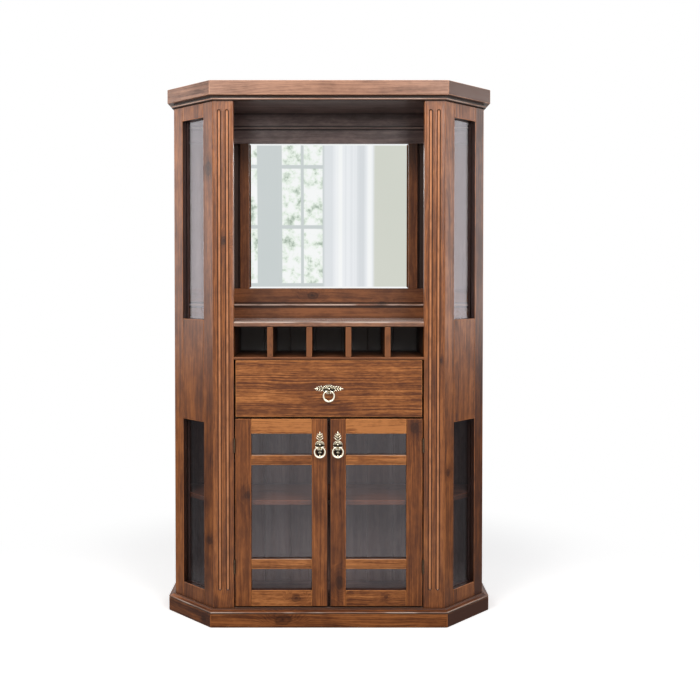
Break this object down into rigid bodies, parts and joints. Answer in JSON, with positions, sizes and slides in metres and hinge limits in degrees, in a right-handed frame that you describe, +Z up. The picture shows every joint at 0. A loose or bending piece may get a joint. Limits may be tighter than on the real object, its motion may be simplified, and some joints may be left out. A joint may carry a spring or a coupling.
{
  "type": "glass display cabinet",
  "caption": "Stained pine display and drinks cabinet with splayed glazed corners, mirrored niche, bottle rack, drawer and glazed cupboard doors.",
  "frame": {"origin": "on the floor under the middle of the footprint", "axes": "+X to the viewer's right, -Y out of the front, +Z up"},
  "size_m": [1.172, 0.322, 1.9],
  "materials": {
    "stained_pine": "satin lacquer over red-brown stain",
    "inner_pine": "stained, thin lacquer",
    "drawer_timber": "bare sanded pine",
    "clear_glass": "clear float glass",
    "mirror_glass": "bevelled silvered glass",
    "antique_brass": "antiqued, dark recesses",
    "hinge_steel": "brassed steel",
    "catch_plastic": "matt brown"
  },
  "bodies": {
    "cabinet": {"plinth_front_board": "stained_pine", "plinth_splay_boards": "stained_pine", "plinth_side_boards": "stained_pine", "plinth_moulding": "stained_pine", "cornice_front_board": "stained_pine", "cornice_splay_boards": "stained_pine", "cornice_side_boards": "stained_pine", "cornice_bead": "stained_pine", "cornice_top_board": "stained_pine", "left_post": "stained_pine", "right_post": "stained_pine", "left_splay_stiles": "stained_pine", "right_splay_stiles": "stained_pine", "left_splay_panels": "stained_pine", "right_splay_panels": "stained_pine", "side_boards": "stained_pine", "ledge": "stained_pine", "niche_top_rail": "stained_pine", "niche_bottom_rail": "stained_pine", "niche_stiles": "stained_pine", "niche_ceiling_board": "inner_pine", "back_panel": "inner_pine", "mirror_backing": "inner_pine", "rack_floor": "inner_pine", "rack_dividers": "inner_pine", "partitions": "inner_pine", "dust_board": "inner_pine", "bottom_board": "inner_pine", "shelf": "inner_pine", "shelf_battens": "inner_pine", "splay_glazing_beads": "inner_pine", "left_upper_pane": "clear_glass", "right_upper_pane": "clear_glass", "left_lower_pane": "clear_glass", "right_lower_pane": "clear_glass", "mirror": "mirror_glass", "drawer_runners": "hinge_steel", "hinge_post_leaves": "hinge_steel", "door_catches": "catch_plastic"},
    "drawer": {"drawer_front": "stained_pine", "drawer_box": "drawer_timber", "drawer_bottom": "drawer_timber", "drawer_slides": "hinge_steel", "drawer_pull_plate": "antique_brass"},
    "drawer_ring": {"drawer_pull_ring": "antique_brass"},
    "left_door": {"left_door_stiles": "stained_pine", "left_door_rails": "stained_pine", "left_door_pane": "clear_glass", "left_door_glazing_beads": "inner_pine", "left_door_hinge_leaves": "hinge_steel", "left_door_pull_plate": "antique_brass"},
    "left_ring": {"left_door_pull_ring": "antique_brass"},
    "right_door": {"right_door_stiles": "stained_pine", "right_door_rails": "stained_pine", "right_door_pane": "clear_glass", "right_door_glazing_beads": "inner_pine", "right_door_hinge_leaves": "hinge_steel", "right_door_pull_plate": "antique_brass"},
    "right_ring": {"right_door_pull_ring": "antique_brass"}
  },
  "joints": [
    {"name": "drawer_slide", "type": "slide", "parent": "cabinet", "child": "drawer", "axis": [0, -1, 0], "range_m": [0, 0.16]},
    {"name": "left_door_hinge", "type": "hinge", "parent": "cabinet", "child": "left_door", "pos_m": [-0.32974, -0.141, 0.397], "axis": [0, 0, -1], "range_deg": [0, 110]},
    {"name": "right_door_hinge", "type": "hinge", "parent": "cabinet", "child": "right_door", "pos_m": [0.32974, -0.141, 0.397], "axis": [0, 0, 1], "range_deg": [0, 110]},
    {"name": "drawer_ring_pivot", "type": "hinge", "parent": "drawer", "child": "drawer_ring", "pos_m": [0, -0.152, 0.8235], "axis": [-1, 0, 0], "range_deg": [0, 80]},
    {"name": "left_ring_pivot", "type": "hinge", "parent": "left_door", "child": "left_ring", "pos_m": [-0.0315, -0.152, 0.628], "axis": [-1, 0, 0], "range_deg": [0, 80]},
    {"name": "right_ring_pivot", "type": "hinge", "parent": "right_door", "child": "right_ring", "pos_m": [0.0315, -0.152, 0.628], "axis": [-1, 0, 0], "range_deg": [0, 80]}
  ]
}
